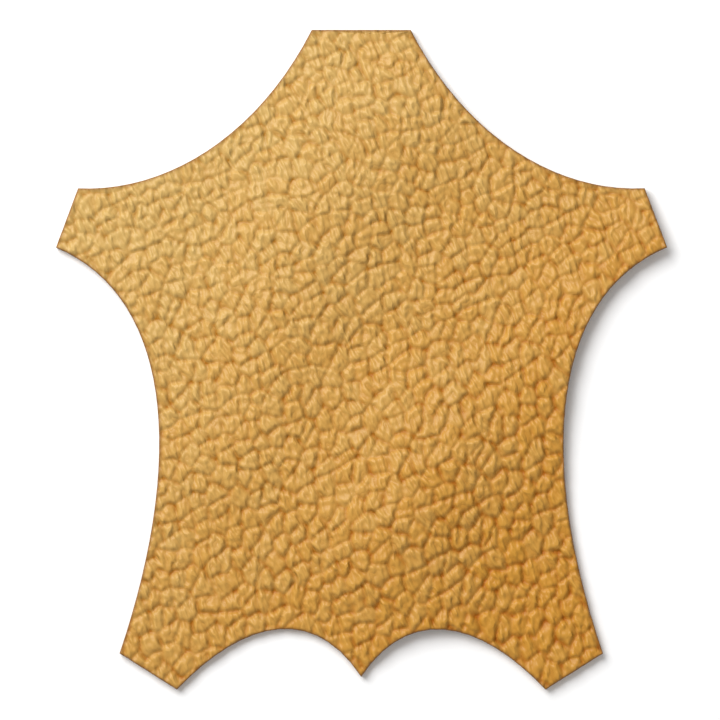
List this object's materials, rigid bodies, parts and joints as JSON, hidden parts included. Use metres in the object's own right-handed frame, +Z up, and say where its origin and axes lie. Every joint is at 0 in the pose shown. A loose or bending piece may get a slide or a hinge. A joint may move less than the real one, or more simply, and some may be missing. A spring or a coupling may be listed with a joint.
{
  "type": "leather hide sample",
  "caption": "Small flat leather piece cut to the outline of a whole hide, with neck, shanks and tail point, grain side up.",
  "frame": {"origin": "centre of the outline's box, on the surface the sheet lies on", "axes": "+Z up out of the grain side, +Y towards the neck, +X towards the right-hand shanks seen from the grain side"},
  "size_m": [0.1296, 0.14, 0.0056],
  "materials": {
    "grain_leather": "tan pigmented leather with a soft pebble grain and a low sheen"
  },
  "bodies": {
    "root": {"hide": "grain_leather"}
  },
  "joints": []
}
